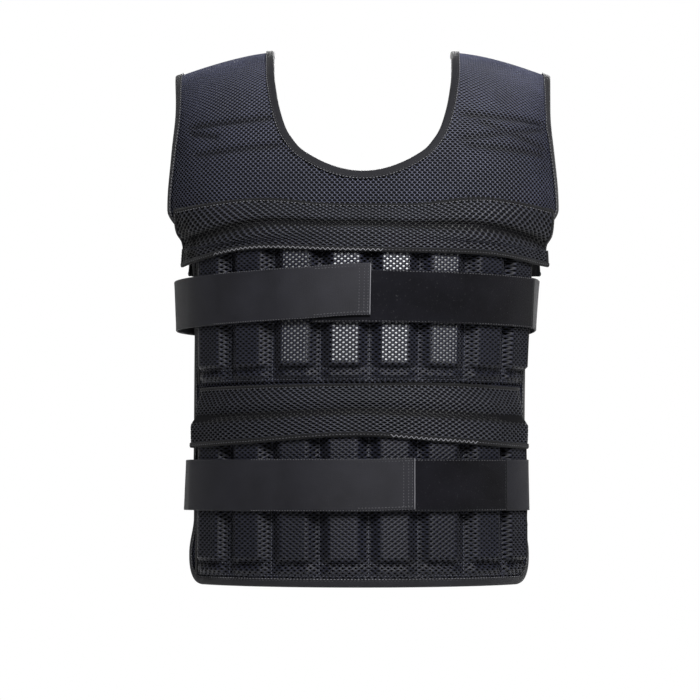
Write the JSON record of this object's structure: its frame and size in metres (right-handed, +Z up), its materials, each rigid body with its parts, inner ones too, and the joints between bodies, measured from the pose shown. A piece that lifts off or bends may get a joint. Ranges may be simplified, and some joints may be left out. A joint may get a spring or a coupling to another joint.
{
  "type": "weighted vest",
  "caption": "Weighted exercise vest of spacer mesh with rows of steel bars in front and back pockets, ribbed flaps, bound edges and two hook-and-loop waist straps.",
  "frame": {"origin": "midway between the undersides of the two shoulder straps, on the seam where front and back meet", "axes": "+X to the right of a front view, +Y from the front to the back, +Z up"},
  "size_m": [0.3904, 0.3009, 0.5401],
  "materials": {
    "mesh_navy": "blue-black perforated spacer mesh",
    "mesh_black": "neutral black perforated spacer mesh",
    "binding": "woven dark grey binding tape",
    "webbing": "flat woven dark grey webbing",
    "hook_and_loop": "napped black loop pile",
    "plate_steel": "zinc-plated steel bar"
  },
  "bodies": {
    "root": {"front_panel": "mesh_navy", "front_neck_binding": "binding", "front_edge_binding": "binding", "front_upper_pockets": "mesh_navy", "front_lower_pockets": "mesh_navy", "front_chest_flap": "mesh_black", "front_mid_flap": "mesh_black", "front_upper_plate_1": "plate_steel", "front_upper_plate_2": "plate_steel", "front_upper_plate_3": "plate_steel", "front_upper_plate_4": "plate_steel", "front_upper_plate_5": "plate_steel", "front_upper_plate_6": "plate_steel", "front_upper_plate_7": "plate_steel", "front_upper_plate_8": "plate_steel", "front_lower_plate_1": "plate_steel", "front_lower_plate_2": "plate_steel", "front_lower_plate_3": "plate_steel", "front_lower_plate_4": "plate_steel", "front_lower_plate_5": "plate_steel", "front_lower_plate_6": "plate_steel", "front_lower_plate_7": "plate_steel", "front_lower_plate_8": "plate_steel", "back_panel": "mesh_navy", "back_neck_binding": "binding", "back_edge_binding": "binding", "back_upper_pockets": "mesh_navy", "back_lower_pockets": "mesh_navy", "back_chest_flap": "mesh_black", "back_mid_flap": "mesh_black", "back_upper_plate_1": "plate_steel", "back_upper_plate_2": "plate_steel", "back_upper_plate_3": "plate_steel", "back_upper_plate_4": "plate_steel", "back_upper_plate_5": "plate_steel", "back_upper_plate_6": "plate_steel", "back_upper_plate_7": "plate_steel", "back_upper_plate_8": "plate_steel", "back_lower_plate_1": "plate_steel", "back_lower_plate_2": "plate_steel", "back_lower_plate_3": "plate_steel", "back_lower_plate_4": "plate_steel", "back_lower_plate_5": "plate_steel", "back_lower_plate_6": "plate_steel", "back_lower_plate_7": "plate_steel", "back_lower_plate_8": "plate_steel", "upper_strap": "webbing", "upper_loop_patch": "hook_and_loop", "upper_hook_patch": "hook_and_loop", "lower_strap": "webbing", "lower_loop_patch": "hook_and_loop", "lower_hook_patch": "hook_and_loop"}
  },
  "joints": []
}
